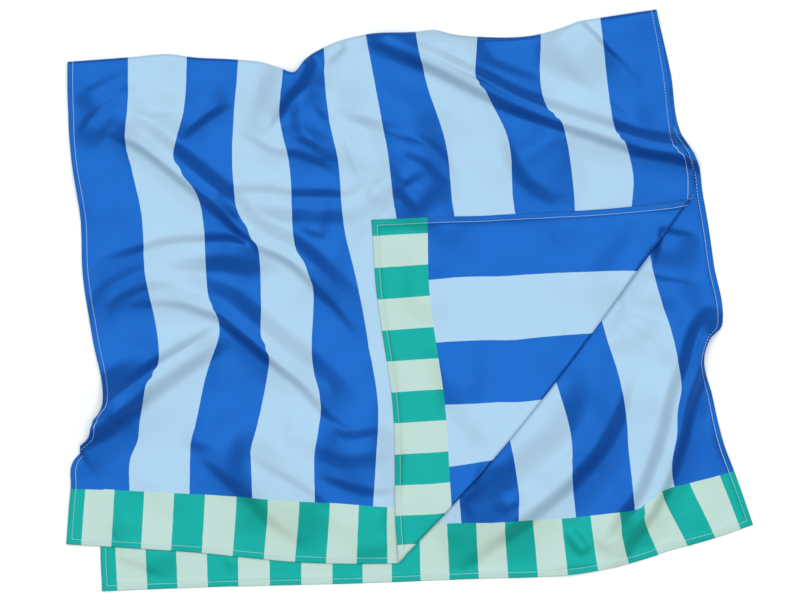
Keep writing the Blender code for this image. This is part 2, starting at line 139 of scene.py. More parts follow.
# A fold is a ridge in the cloth: its name, the line of its crest, its height, the width of the
# side on the left hand and on the right hand of someone walking the line, the share of the
# line over which it rises and dies away, and its share of the height in the lower half, the
# upper half and the turned corner. A fold with one narrow side looks like a step. The big ones
# also narrow towards their end, by taper, and take up cloth, which comes from as far as spread.
Fold = namedtuple("Fold", "name crest height left right rise die lower upper corner taper take spread",
                  defaults=(1.0, 0.0, 1.0))
MAIN_FOLDS = (
    Fold("shoulder", ((-46, 350), (40, 321), (76, 304), (107, 289), (152, 267), (201, 249), (268, 227),
                      (324, 209), (380, 198), (429, 177)),
         18, 13, 12, 0.3, 0.05, 0.6, 1, 1, 1.0, 9.0, 23),
    Fold("centre_arc", ((-54, 232), (-18, 219), (0, 213), (22, 208), (40, 199), (54, 185), (64, 162),
                        (72, 140)),
         9, 10.5, 44, 0.3, 0.5, 0, 1, 1, 1.0, 1.5, 18),
    Fold("centre_curl", ((-26, 146), (-11, 154), (2, 155), (11, 147), (27, 132), (42, 114)),
         6.5, 12, 12, 0.35, 0.35, 0, 1, 1, 1.0, 2.0, 11),
    Fold("long_ridge", ((-400, 238), (-345, 212), (-318, 192), (-275, 157), (-240, 128), (-195, 86),
                        (-138, 54), (-103, 20), (-80, -2), (-54, -36), (-20, -78)),
         15.5, 20, 10.5, 0.14, 0.45, 0.2, 1, 1, 1.0, 12.9, 22),
    Fold("left_nick", ((-432, 206), (-420, 223), (-411, 237), (-395, 252), (-377, 261), (-335, 271)),
         7, 9, 18, 0.3, 0.5, 0, 1, 1, 1.0, 1.3, 14),
    Fold("upper_left", ((-308, 212), (-290, 228), (-274, 242), (-259, 253), (-241, 264), (-220, 270)),
         8, 30, 8, 0.45, 0.35, 0, 1, 1, 1.0, 1.8, 16),
    Fold("notch", ((-128, 330), (-143, 294), (-161, 272), (-170, 255), (-181, 238), (-194, 218)),
         10.5, 15, 30, 0.1, 0.4, 0.4, 1, 1, 0.5, 2.0, 20),
    Fold("chest", ((-228, 238), (-206, 229), (-188, 221), (-170, 210), (-136, 205), (-98, 190),
                   (-76, 172), (-66, 158)),
         6, 20, 10, 0.3, 0.4, 0, 1, 1, 1.0, 2.7, 15),
    Fold("chest_curl", ((-100, 286), (-109, 272), (-123, 259), (-121, 230), (-107, 219), (-89, 205),
                        (-80, 190), (-87, 172)),
         7, 30, 15, 0.3, 0.5, 0, 1, 1, 1.0, 1.3, 14),
    Fold("belt", ((-246, 114), (-237, 127), (-219, 136), (-188, 138), (-145, 133), (-100, 132), (-62, 133),
                  (-44, 147), (-29, 165), (-14, 176)),
         9.5, 11, 20, 0.2, 0.45, 0, 1, 1, 1.0, 4.2, 17),
    Fold("left_swell", ((-438, 32), (-404, 43), (-360, 54), (-340, 60), (-317, 67), (-266, 72), (-232, 73),
                        (-210, 68), (-188, 60), (-160, 40)),
         14, 10.5, 24, 0.6, 0.25, 0.2, 1, 1, 1.0, 3.2, 17),
    Fold("hip_ridge", ((-405, -10), (-372, 1), (-335, 6), (-290, 3), (-261, -7), (-243, -13), (-210, -38),
                       (-165, -76), (-121, -112), (-96, -141), (-80, -154), (-62, -162), (-40, -161),
                       (0, -153)),
         17.5, 26, 11, 0.45, 0.5, 0.2, 1, 1, 1.0, 11.2, 21),
    Fold("left_ridge", ((-440, -180), (-402, -158), (-384, -141), (-344, -109), (-310, -85), (-277, -65),
                        (-248, -47), (-220, -34)),
         17, 13, 24, 0.5, 0.3, 0.2, 1, 1, 0.7, 11, 20),
    Fold("left_root", ((-440, -180), (-402, -158), (-384, -141), (-344, -109), (-318, -91)),
         20, 28, 18, 0.02, 0.6, 0.2, 1, 1, 1.0, 9, 20),
    Fold("hip_tail", ((-112, -160), (-103, -172), (-92, -185), (-76, -193), (-58, -192), (-13, -185),
                      (5, -182)),
         7.5, 13, 22, 0.35, 0.4, 0, 1, 1, 1.0, 1.6, 11),
    Fold("lower_swell", ((-268, -190), (-239, -218), (-194, -255), (-167, -284), (-132, -311),
                         (-100, -332)),
         10, 50, 13, 0.3, 0.45, 0, 1, 1, 1.0, 0.4, 24),
    Fold("middle_swell", ((-118, -222), (-84, -234), (-57, -243), (-32, -247), (20, -240)),
         5.5, 40, 10, 0.3, 0.4, 0, 1, 1, 1.0, 0.3, 20),
    Fold("right_ridge", ((436, -14), (413, -37), (394, -90), (378, -134), (367, -182), (351, -230),
                         (330, -276), (303, -311), (280, -352), (268, -372)),
         19, 13, 16, 0.12, 0.3, 1, 0, 0, 1.0, 13.1, 20),
    Fold("corner_ridge", ((314, -50), (302, -80), (281, -142), (255, -190), (214, -236), (166, -276),
                          (120, -310), (62, -348), (40, -356)),
         23, 17, 44, 0.4, 0.35, 1, 0, 0, 1.0, 3.4, 19),
)
SMALL_FOLDS = (
    Fold("shoulder_step", ((-52, 356), (-12, 344), (40, 323), (76, 306), (112, 288)),
         6, 26, 10, 0.2, 0.6, 0.6, 1, 1),
    Fold("shoulder_fringe", ((60, 326), (105, 309), (127, 302), (156, 291), (190, 281), (215, 270)),
         5.5, 14, 11, 0.4, 0.4, 0, 1, 1),
    Fold("top_arc", ((30, 336), (40, 346), (54, 349), (83, 342), (109, 318), (120, 300)),
         6, 13, 13, 0.4, 0.45, 0, 1, 1),
    Fold("top_dip", ((246, 370), (222, 346), (200, 322), (190, 306)), 12, 50, 18, 0.02, 0.6, 0, 1, 1),
    Fold("top_crease", ((-73, 347), (-85, 333), (-99, 320), (-110, 308)), 5.5, 5.5, 14, 0.2, 0.6, 0, 1, 1),
    Fold("chest_rib", ((-170, 237), (-146, 226), (-122, 219), (-100, 209)), 2, 14, 7, 0.4, 0.4, 0, 1, 1),
    Fold("chest_crease", ((-72, 236), (-65, 206), (-61, 193), (-52, 173), (-46, 160)),
         4, 18, 8, 0.4, 0.45, 0, 1, 1),
    Fold("centre_bulge", ((-100, 272), (-78, 263), (-56, 256), (-25, 247), (12, 234), (58, 219), (84, 206)),
         11, 50, 14, 0.35, 0.45, 0, 1, 1),
    Fold("centre_rib", ((-24, 200), (-13, 196), (4, 183), (27, 172), (38, 161), (54, 147), (69, 130),
                        (78, 118)),
         7, 13, 16, 0.35, 0.45, 0, 1, 1),
    Fold("curl_pleat", ((-42, 124), (-33, 145), (-20, 156), (-6, 162)), 3.8, 7, 14, 0.4, 0.4, 0, 1, 1),
    Fold("belt_crease", ((-138, 109), (-122, 100), (-105, 94), (-86, 93)), 3.4, 22, 8, 0.45, 0.45, 0, 1, 1),
    Fold("nick_above", ((-436, 258), (-422, 266), (-400, 277), (-377, 288), (-360, 298), (-345, 312)),
         5.5, 12, 15, 0.3, 0.6, 0, 1, 1),
    Fold("upper_left_crease", ((-360, 246), (-348, 252), (-331, 253), (-299, 256), (-285, 257)),
         3.4, 20, 6, 0.4, 0.45, 0, 1, 1),
    Fold("left_rim", ((-397, -60), (-400, -27), (-397, -4), (-386, 9), (-366, 20), (-344, 29), (-317, 33),
                      (-288, 42), (-250, 57)),
         6, 14, 12, 0.4, 0.4, 0, 1, 1),
    Fold("left_pleat", ((-386, -166), (-369, -152), (-352, -138), (-333, -123)),
         4, 5, 5, 0.2, 0.4, 0, 1, 1),
    Fold("hip_bulge", ((-122, -132), (-132, -155), (-136, -183), (-142, -215)),
         3.5, 26, 18, 0.4, 0.45, 0, 1, 1),
    Fold("swell_top", ((-304, -173), (-262, -183), (-222, -195)), 5, 40, 15, 0.5, 0.5, 0, 1, 1),
    Fold("swell_step", ((-226, -208), (-203, -220), (-179, -233), (-139, -257), (-99, -287), (-68, -312)),
         6, 10, 40, 0.35, 0.45, 0, 1, 1),
    Fold("middle_bulge", ((-42, -262), (-34, -310), (-28, -352)), 4, 18, 30, 0.4, 0.3, 0, 1, 1),
    Fold("hem_crease", ((-392, -284), (-379, -303), (-362, -323)), 2.5, 16, 9, 0.5, 0.5, 0, 1, 1),
    Fold("right_bulge", ((160, 258), (161, 228), (167, 200), (180, 177), (202, 160), (234, 149),
                         (266, 145)),
         10, 60, 21, 0.4, 0.5, 0, 1, 1),
    Fold("turn_swell", ((355, 112), (339, 87), (322, 60), (303, 34), (286, 8), (268, -15), (250, -36)),
         8, 11, 34, 0.35, 0.45, 0, 0, 1),
    Fold("flap_fold", ((48, -40), (64, -80), (71, -121), (74, -160)), 4.5, 40, 17, 0.5, 0.5, 0, 0, 1),
    Fold("flap_line_1", ((134, 34), (150, 62), (159, 92)), 1.5, 16, 10, 0.4, 0.4, 0, 0, 1),
    Fold("flap_line_2", ((82, 46), (90, 75), (98, 102)), 1.2, 14, 8, 0.4, 0.4, 0, 0, 1),
    Fold("flap_line_3", ((196, 106), (214, 84), (230, 52)), 1.2, 14, 8, 0.4, 0.4, 0, 0, 1),
    Fold("ray_1", ((343, 87), (376, 81), (410, 76)), 7, 8, 30, 0.15, 0.6, 1, 0, 0),
    Fold("ray_2", ((312, 37), (346, 22), (374, 17), (412, 13)), 4.5, 8, 26, 0.3, 0.4, 1, 0, 0),
    Fold("ray_3", ((292, -1), (322, 6), (342, 8)), 2, 5, 16, 0.2, 0.5, 1, 0, 0),
    Fold("ray_4", ((284, -14), (313, -27), (340, -38), (368, -54)), 2.5, 6, 14, 0.2, 0.5, 1, 0, 0),
    Fold("ray_5", ((275, -26), (301, -48), (328, -64), (352, -91)), 2.5, 7, 18, 0.3, 0.6, 1, 0, 0),
    Fold("ray_6", ((97, -236), (119, -246), (150, -250)), 4, 18, 7, 0.25, 0.6, 1, 0, 0),
    Fold("ray_7", ((88, -262), (99, -277), (112, -294)), 3.5, 24, 9, 0.3, 0.5, 1, 0, 0),
    Fold("ray_8", ((126, -285), (138, -271), (155, -262), (174, -255)), 4, 16, 11, 0.4, 0.5, 1, 0, 0),
    Fold("right_bank", ((340, -75), (331, -120), (326, -170)), 3, 30, 18, 0.45, 0.45, 1, 0, 0),
    Fold("toe_1", ((255, -319), (243, -330), (230, -340)), 4, 8, 24, 0.5, 0.5, 1, 0, 0),
    Fold("toe_2", ((286, -311), (273, -323), (261, -335)), 4, 8, 14, 0.5, 0.5, 1, 0, 0),
    Fold("strip_fold", ((-394, -333), (-362, -341), (-338, -349), (-318, -358), (-296, -367)),
         3.5, 18, 10, 0.3, 0.5, 1, 0, 0),
    Fold("strip_crease", ((-238, -339), (-224, -350), (-210, -362)), 2, 10, 8, 0.45, 0.45, 1, 0, 0),
)
FOLDS = MAIN_FOLDS + SMALL_FOLDS
FOLD_BROW = 0.4                  # a fold's side turns steep at this many widths from its crest,
FOLD_FOOT = 1.6                  # gentle again here
FOLD_REACH = 4.0                 # and ends here
STEEP_PART = 0.7                 # share of the height that falls in the steep part
TAKE_WITHIN = 0.6                # the cloth is drawn in within this many widths of the crest
TAKE_REACH = 3.2                 # and from as far as this, in spreads
TAKE_END = 7.0
CREST_STEPS = 6                  # straight steps between two points of a crest
LAYERS = ("lower", "upper", "corner")   # from the table up
LAYER_JOIN = 1.0                 # height over which two layers' folds join softly
SWELL = 7.0                      # height of the soft waves of cloth that nothing presses flat
SWELL_LENGTH = 95.0              # about how long they are
SWELL_ROUGHNESS = 1.0            # how fast the finer waves in them die away
SWELL_DETAIL = 2.1               # how much shorter each finer set is
SWELL_SETS = 2
SWELL_ONSET = 0.35               # how softly they start from the flat

# ---- the grid ----
CELL = 7.6                       # its widest cell
EDGE_ROW = 1.2                   # its first row in from an edge
ROUND_STEPS = 8                  # steps round a fold of the cloth
SAG = 0.14                       # cells whose middle would sag by more are cut finer
SNAP = 0.3                       # corners this near a line of the turn are moved onto it
HEM_STEP = 0.8                   # how wide the step is at the inner edge of the hem
ROW_DECIMALS = 3                 # rows that are alike to so many decimals are one
STITCH_FLATNESS = 2 / 3          # height of a stitch over its width

# ---- the finish of the materials ----
# An uneven pattern: its patches to a metre, and how much finer detail it has.
Pattern = namedtuple("Pattern", "scale detail")
WANDER = Pattern(90.0, 2.0)      # how the edges of the stripes stray
MOTTLE = Pattern(28.0, 3.0)      # soft patches of lighter and darker cloth
GRAIN = Pattern(420.0, 2.0)      # unevenness of the yarn
CREASING = Pattern(60.0, 2.0)    # low creasing all over
TWIST = Pattern(2400.0, 1.0)     # of the sewing thread
FLOOR_MOTTLE = Pattern(8.0, 1.0)
MOTTLE_SHADE = 0.05              # how much lighter and darker the patches are
GRAIN_SHADE = 0.06
# The hem is darker partly for its doubled cloth and partly by painted shade of its rounded roll.
HEM_DARKENING_AND_PAINTED_SHADE = 0.06                 # how much darker the hem is
MOTTLE_ROUGHNESS = 0.1
GRAIN_DEPTH = 0.05 * MM
CREASING_DEPTH = 0.2 * MM
BUMP_WIDTH = 0.1                 # in pixels, over which the relief is read
THREAD_ROUGHNESS = 0.55
TWIST_ROUGHNESS = 0.2
TWIST_SHADE = 0.3
FLOOR_ROUGHNESS = 0.925
FLOOR_UNEVENNESS = 0.05

# ---- the stage ----
FLOOR_REACH = 3.0                # in metres, from the middle to each side
FLOOR_GAP = 0.3 * MM             # kept clear under the cloth
VIEW_REACH = 50.0                # how far the camera sees


# ---- how the cloth lies ----

def smooth_step(share):
    """0 to 1 with level ends, as share goes from 0 to 1."""
    share = np.clip(share, 0.0, 1.0)
    return share * share * (3.0 - 2.0 * share)


def higher(first, second, softness=LAYER_JOIN):
    """The higher of two surfaces, with a soft join."""
    apart = np.clip((first - second) / softness, -1.0, 1.0)
    return np.where(np.abs(apart) < 1.0, (first + second) / 2 + softness * (1.0 + apart ** 2) / 4,
                    np.maximum(first, second))


def between(first, last, span, way):
    """The smooth curve between two rows of (point, slope), read at each way from 0 to 1."""
    back = 1.0 - way
    return (back * back * (1.0 + 2.0 * way) * first[0] + way * way * (1.0 + 2.0 * back) * last[0]
            + way * back * span * (back * first[1] - way * last[1]))


def curve_through(knots, points, places):
    """The smooth curve that passes the points at the knots, read at places.

    Where the points come in rows, one for each knot, each place reads its own column of them.
    """
    knots = np.asarray(knots, float)
    points = np.asarray(points, float)
    slopes = np.gradient(points, knots, axis=0)
    left = np.clip(np.searchsorted(knots, places, side="right") - 1, 0, len(knots) - 2)
    span = (knots[left + 1] - knots[left])[:, None]
    way = (places - knots[left])[:, None] / span
    first, last = left, left + 1
    if points.ndim == 3:
        columns = np.arange(len(places))
        first, last = (first, columns), (last, columns)
    return between((points[first], slopes[first]), (points[last], slopes[last]), span, way)


def crest_line(fold):
    """The crest as a smooth line of short steps."""
    points = np.asarray(fold.crest, float)
    knots = np.insert(np.cumsum(np.linalg.norm(np.diff(points, axis=0), axis=1)), 0, 0.0)
    return curve_through(knots, points, np.linspace(0.0, knots[-1], CREST_STEPS * (len(points) - 1) + 1))


def off_crest(places, crest):
    """For each place: its distance from the crest, the way out, its side and the share passed."""
    steps = np.diff(crest, axis=0)
    reach = places[:, None] - crest[:-1]
    way = np.clip((reach * steps).sum(2) / (steps ** 2).sum(1), 0.0, 1.0)
    gaps = reach - way[..., None] * steps
    nearest = (gaps ** 2).sum(2).argmin(1)
    rows = np.arange(len(places))
    gap = gaps[rows, nearest]
    distance = np.linalg.norm(gap, axis=1)
    step = steps[nearest]
    on_left = step[:, 0] * gap[:, 1] - step[:, 1] * gap[:, 0] > 0.0
    share = (nearest + way[rows, nearest]) / len(steps)
    return distance, gap / np.maximum(distance, MM)[:, None], on_left, share


def in_reach(fold, places, reach):
    """The places that lie less than this far outside the box round a fold's crest."""
    crest = np.array(fold.crest)
    return np.all((places > crest.min(0) - reach) & (places < crest.max(0) + reach), axis=1)


def rise(fold, share):
    """How much of a fold's full height it has at this share of its line."""
    return smooth_step(share / fold.rise) * smooth_step((1.0 - share) / fold.die)


def drawn_in(places, half):
    """Where the cloth of one half comes to lie, as its folds draw it towards their crests."""
    moved = places.copy()
    for fold in MAIN_FOLDS:
        part = getattr(fold, half)
        near = in_reach(fold, places, TAKE_END * fold.spread)
        if part > 0.0 and near.any():
            distance, outward, _, share = off_crest(places[near], crest_line(fold))
            taken = fold.take * (part * rise(fold, share)) ** 2
            within = max(fold.take, TAKE_WITHIN * min(fold.left, fold.right))
            pull = 1.0 - np.exp(-(distance / within) ** 2)
            pull *= np.exp(-(distance / (TAKE_REACH * fold.spread)) ** 2)
            moved[near] -= outward * (taken * pull)[:, None]
    return moved


def relief(places, upper, corner):
    """Height of the folds: upper and corner say how far each place is into those layers.

    A layer that lies on another carries its folds as well as its own.
    """
    layers = np.zeros((len(LAYERS), len(places)))
    for fold in FOLDS:
        near = in_reach(fold, places, FOLD_REACH * max(fold.left, fold.right))
        if not near.any():
            continue
        distance, _, on_left, share = off_crest(places[near], crest_line(fold))
        width = np.where(on_left, fold.left, fold.right) * (1.0 - (1.0 - fold.taper) * share)
        steep = smooth_step((FOLD_FOOT - distance / width) / (FOLD_FOOT - FOLD_BROW))
        side = STEEP_PART * steep + (1.0 - STEEP_PART) * smooth_step(1.0 - distance / (FOLD_REACH * width))
        side *= fold.height * rise(fold, share)
        part = 0.0
        for layer, name in enumerate(LAYERS):
            part = max(part, getattr(fold, name))
            layers[layer, near] += part * side
    lower = higher(layers[0], 0.0)
    over = higher(layers[1], lower)
    top = higher(layers[2], over)
    return lower + (over - lower) * upper + (top - over) * corner


def swell(places):
    """Soft waves, from 0 up, that keep the flat stretches of cloth from being dead flat."""
    waves = [noise.fractal(Vector((x, y, 0.0)) / SWELL_LENGTH, SWELL_ROUGHNESS, SWELL_DETAIL, SWELL_SETS)
             for x, y in places]
    return SWELL * higher(np.array(waves), 0.0, SWELL_ONSET)


def half_on_table(across, along, half):
    """Places of one half of the cloth, before the corner is turned. Along starts at the hem."""
    quarter = ROLL_RADIUS * pi / 2
    from_fold = np.abs(along - LOWER_LENGTH)
    rounding = ROLL_RADIUS * (1.0 - np.cos(np.minimum(from_fold, quarter) / ROLL_RADIUS))
    down = rounding + np.maximum(from_fold - quarter, 0.0)
    cloth, sections = HALVES[half]
    edge = np.array(TOP_EDGE)
    rows = [curve_through(edge[:, 0] * STRIPE, edge[:, 1:], across)]
    lines = np.array(SECTION_LINES) * STRIPE
    rows += [curve_through(lines, section[1:], across) for section in sections]
    shares = [0.0] + [section.share for section in sections]
    share = down / (cloth - quarter + ROLL_RADIUS)
    return drawn_in(curve_through(shares, np.stack(rows), share), half)


def turn_frame():
    """The corner's fold line: its start, its direction, the way out of the towel, its length."""
    start = np.array(TURN_START)
    run = np.array(TURN_END) - start
    length = np.linalg.norm(run)
    direction = run / length
    return start, direction, np.array((-direction[1], direction[0])), length


def turn_bow(passed, length):
    """How far the fold line bows out, this far along it."""
    return TURN_BOW * np.sin(pi * np.clip(passed / length, 0.0, 1.0) ** TURN_BOW_LEAN)


def staged(across, along):
    """Places on the flat cloth as (passed, beyond): along the corner's fold line, and out past it."""
    places = np.empty((len(across), 2))
    for half, inside in (("lower", along < LOWER_LENGTH), ("upper", along >= LOWER_LENGTH)):
        places[inside] = half_on_table(across[inside], along[inside], half)
    start, direction, outward, length = turn_frame()
    passed = (places - start) @ direction
    return passed, (places - start) @ outward - turn_bow(passed, length)


def from_turn(passed, beyond):
    """The places on the table of such pairs."""
    start, direction, outward, length = turn_frame()
    out = beyond + turn_bow(passed, length)
    return start + passed[:, None] * direction + out[:, None] * outward


def raised(passed, beyond, along, thickness):
    """The cloth's face in space, for its places before the corner is turned."""
    quarter = TURN_RADIUS * pi / 2
    slack = quarter - TURN_RADIUS - thickness
    upper_half = along > LOWER_LENGTH
    past = np.where(upper_half, beyond - slack, -np.inf)
    angle = np.clip(past / TURN_RADIUS, -pi / 2, pi / 2)
    edge = TURN_RADIUS * (np.cos(angle) - 1.0) - thickness
    turned = np.where(np.abs(past) < quarter, edge, slack - np.abs(beyond - slack))
    places = from_turn(passed, np.where(upper_half, turned, beyond))

    roll = (along - LOWER_LENGTH) / ROLL_RADIUS
    upper = smooth_step(roll / pi + 0.5)
    corner = smooth_step(angle / pi + 0.5)
    rolled = ROLL_RADIUS * (1.0 + np.sin(np.clip(roll, -pi / 2, pi / 2)))
    off_roll = np.maximum(along - LOWER_LENGTH - ROLL_RADIUS * pi / 2, 0.0)
    settled = np.exp(-(off_roll / ROLL_SETTLE) ** 2)
    base = np.where(roll > pi / 2, UPPER_FACE + (2 * ROLL_RADIUS - UPPER_FACE) * settled, rolled)
    turn = TURN_RADIUS * (1.0 + np.sin(angle))
    off_turn = np.maximum(past - quarter, 0.0)
    rest = TURN_REST + (2 * TURN_RADIUS - TURN_REST) * np.exp(-(off_turn / TURN_SETTLE) ** 2)
    lift = np.where(past > quarter, rest, turn)
    return np.column_stack((places, base + lift + relief(places, upper, corner) + swell(places)))


# ---- the sheet ----

def hem_steps(hem):
    """Distances from an edge at which the hem needs a row of the grid."""
    return np.array((0.0, EDGE_ROW, hem / 2, hem - HEM_STEP, hem, hem + HEM_STEP))


def grid_lines(first, last, between_hems):
    """Rows from one hem to the other: the hems' own at the ends, and even ones between."""
    between_hems = [np.linspace(a, b, max(2, round((b - a) / CELL) + 1)) for a, b in between_hems]
    return np.unique(np.concatenate((first, last, *between_hems)).round(ROW_DECIMALS))


def cloth_grid(hem):
    """The flat cloth as a grid, with each corner at (across, along)."""
    edge = hem_steps(hem)
    inner = edge[-1]
    quarter = ROLL_RADIUS * pi / 2
    across = grid_lines(edge, TOWEL_WIDTH - edge, [(inner, TOWEL_WIDTH - inner)])
    along = grid_lines(edge, TOWEL_LENGTH - edge,
                       [(inner, LOWER_LENGTH - quarter), (LOWER_LENGTH + quarter, TOWEL_LENGTH - inner)])
    rounded = np.linspace(LOWER_LENGTH - quarter, LOWER_LENGTH + quarter, ROUND_STEPS + 1)
    along = np.union1d(along, rounded[1:-1])
    grid = bmesh.new()
    bmesh.ops.create_grid(grid, x_segments=len(across) - 1, y_segments=len(along) - 1, size=0.5)
    for corner in grid.verts:
        column = round((corner.co.x + 0.5) * (len(across) - 1))
        row = round((corner.co.y + 0.5) * (len(along) - 1))
        corner.co = (across[column], along[row], 0.0)
    return grid


def surface(across, along, thickness):
    """The cloth's face in space, for places on the flat cloth."""
    return raised(*staged(across, along), along, thickness)


def cut_finer(grid, thickness):
    """Cuts in four each cell in whose middle the cloth rises or dips from its corners."""
    flat = np.array([corner.co for corner in grid.verts])
    grid.verts.index_update()
    points = surface(flat[:, 0], flat[:, 1], thickness)
    middles = np.array([face.calc_center_median() for face in grid.faces])
    true_middles = surface(middles[:, 0], middles[:, 1], thickness)
    edges = set()
    for face, middle in zip(grid.faces, true_middles):
        mean = points[[corner.index for corner in face.verts]].mean(0)
        if np.linalg.norm(middle - mean) > SAG:
            edges.update(face.edges)
    bmesh.ops.subdivide_edges(grid, edges=list(edges), cuts=1, use_grid_fill=True)


def cut_turn(grid, thickness):
    """Cuts rows of edges along the corner's fold, round which the cloth bends."""
    quarter = TURN_RADIUS * pi / 2
    slack = quarter - TURN_RADIUS - thickness
    for beyond in np.linspace(slack - quarter, slack + quarter, ROUND_STEPS + 1):
        faces = [face for face in grid.faces if face.calc_center_median().z > LOWER_LENGTH]
        corners = {corner for face in faces for corner in face.verts}
        edges = {edge for face in faces for edge in face.edges}
        for corner in corners:
            if abs(corner.co.y - beyond) < SNAP:
                corner.co.y = beyond
        bmesh.ops.bisect_plane(grid, geom=list(corners) + list(edges) + faces, dist=MM,
                               plane_co=(0.0, beyond, 0.0), plane_no=(0.0, 1.0, 0.0))


def from_edge(across, along):
    """Distance from the nearest edge of the flat cloth."""
    return np.minimum.reduce((across, TOWEL_WIDTH - across, along, TOWEL_LENGTH - along))


def sheet_mesh(cloth):
    """The towel's sheet, with its place on the flat cloth, in metres, as its UV map."""
    thickness = cloth.thickness / MM
    grid = cloth_grid(cloth.hem / MM)
    cut_finer(grid, thickness)
    flat = np.array([corner.co for corner in grid.verts])
    place_across = grid.verts.layers.float.new("across")
    for corner, passed, beyond in zip(grid.verts, *staged(flat[:, 0], flat[:, 1])):
        corner[place_across] = corner.co.x
        corner.co = (passed, beyond, corner.co.y)
    cut_turn(grid, thickness)
    bmesh.ops.triangulate(grid, faces=[face for face in grid.faces if len(face.verts) > 4])
    bmesh.ops.reverse_faces(grid, faces=grid.faces)

    stage = np.array([corner.co for corner in grid.verts])
    map_layer = grid.loops.layers.uv.new("cloth")
    for face in grid.faces:
        for loop in face.loops:
            loop[map_layer].uv = (loop.vert[place_across] * MM, loop.vert.co.z * MM)
    across = np.array([corner[place_across] for corner in grid.verts])
    for corner, point in zip(grid.verts, raised(*stage.T, thickness)):
        corner.co = point * MM
    mesh = bpy.data.meshes.new("towel_sheet")
    grid.to_mesh(mesh)
    grid.free()
    mesh.shade_smooth()
    return mesh, from_edge(across, stage[:, 2])


def new_object(name, mesh, material):
    """Puts a mesh into the scene as an object at the origin."""
    mesh.materials.append(material)
    made = bpy.data.objects.new(name, mesh)
    bpy.context.scene.collection.objects.link(made)
    return made


def sheet_object(cloth, material):
    """The sheet with its thickness, which is that of the turned-in hem along the edges."""
    mesh, inset = sheet_mesh(cloth)
    sheet = new_object("towel_sheet", mesh, material)
    body = cloth.thickness / cloth.hem_thickness
    hem = cloth.hem / MM
    weights = body + (1.0 - body) * smooth_step((hem + HEM_STEP / 2 - inset) / HEM_STEP)
    group = sheet.vertex_groups.new(name="thick")
    for index, weight in enumerate(weights):
        group.add((index,), float(weight), "REPLACE")
    solid = sheet.modifiers.new("thickness", "SOLIDIFY")
    solid.thickness = cloth.hem_thickness
    solid.offset = -1.0
    solid.vertex_group = group.name
    solid.use_rim = True
    return sheet


# ---- the stitching ----

def seam_places(cloth):
    """Middles of the stitches on the flat cloth, and the way the seam runs there."""
    inset = cloth.stitch_inset / MM
    pitch = cloth.stitch_pitch / MM
    runs = (
        ((inset, inset), (TOWEL_WIDTH - inset, inset)),
        ((TOWEL_WIDTH - inset, inset), (TOWEL_WIDTH - inset, TOWEL_LENGTH - inset)),
        ((TOWEL_WIDTH - inset, TOWEL_LENGTH - inset), (inset, TOWEL_LENGTH - inset)),
        ((inset, TOWEL_LENGTH - inset), (inset, inset)),
    )
    middles, ways = [], []
    for start, end in np.array(runs):
        length = np.linalg.norm(end - start)
        count = round(length / pitch)
        middles.append(start + (end - start) * ((np.arange(count) + 0.5) / count)[:, None])
        ways.append(np.tile((end - start) / length, (count, 1)))
    return np.concatenate(middles), np.concatenate(ways)


def stitching_mesh(cloth):
    """Every stitch of the hems, on the face and on the reverse of the cloth."""
    thickness = cloth.thickness / MM
    reach = cloth.stitch_length / MM / 2
    middles, ways = seam_places(cloth)
    sides = np.column_stack((ways[:, 1], -ways[:, 0]))

    def at(places):
        return surface(places[:, 0], places[:, 1], thickness) * MM

    centre = at(middles)
    run = at(middles + ways * reach) - at(middles - ways * reach)
    side = at(middles + sides * reach) - at(middles - sides * reach)
    run /= np.linalg.norm(run, axis=1)[:, None]
    out = np.cross(run, side)
    out /= np.linalg.norm(out, axis=1)[:, None]
    side = np.cross(out, run)
    radius = cloth.stitch_width / 2
    size = (cloth.stitch_length / 2, radius, radius * STITCH_FLATNESS)
    stitches = bmesh.new()
    for depth in (0.0, -cloth.hem_thickness):
        for place, *axes in zip(centre + out * depth, run, side, out):
            turn = Matrix([Vector(axis) * length for axis, length in zip(axes, size)]).transposed()
            bmesh.ops.create_icosphere(stitches, subdivisions=1, radius=1.0,
                                       matrix=Matrix.Translation(place) @ turn.to_4x4())
    mesh = bpy.data.meshes.new("stitching")
    stitches.to_mesh(mesh)
    stitches.free()
    mesh.shade_smooth()
    return mesh


# ---- the materials ----

class Signal:
    """A node's output, whose sums and products are Math nodes."""

    def __init__(self, graph, socket):
        self.graph, self.socket = graph, socket

    def math(self, operation, *values):
        return self.graph.add("ShaderNodeMath", {"operation": operation}, *values)

    def __add__(self, other):
        return self.math("ADD", self, other)

    def __sub__(self, other):
        return self.math("SUBTRACT", self, other)

    def __rsub__(self, other):
        return self.math("SUBTRACT", other, self)

    def __mul__(self, other):
        return self.math("MULTIPLY", self, other)

    def __truediv__(self, other):
        return self.math("DIVIDE", self, other)

    __radd__ = __add__
    __rmul__ = __mul__

    def sine(self):
        return self.math("SINE", self)

    def least(self, other):
        return self.math("MINIMUM", self, other)

    def step(self, low, high):
        """0 below low, 1 above high, and a smooth rise between."""
        return self.graph.add("ShaderNodeMapRange", {"interpolation_type": "SMOOTHSTEP"}, self, low, high)


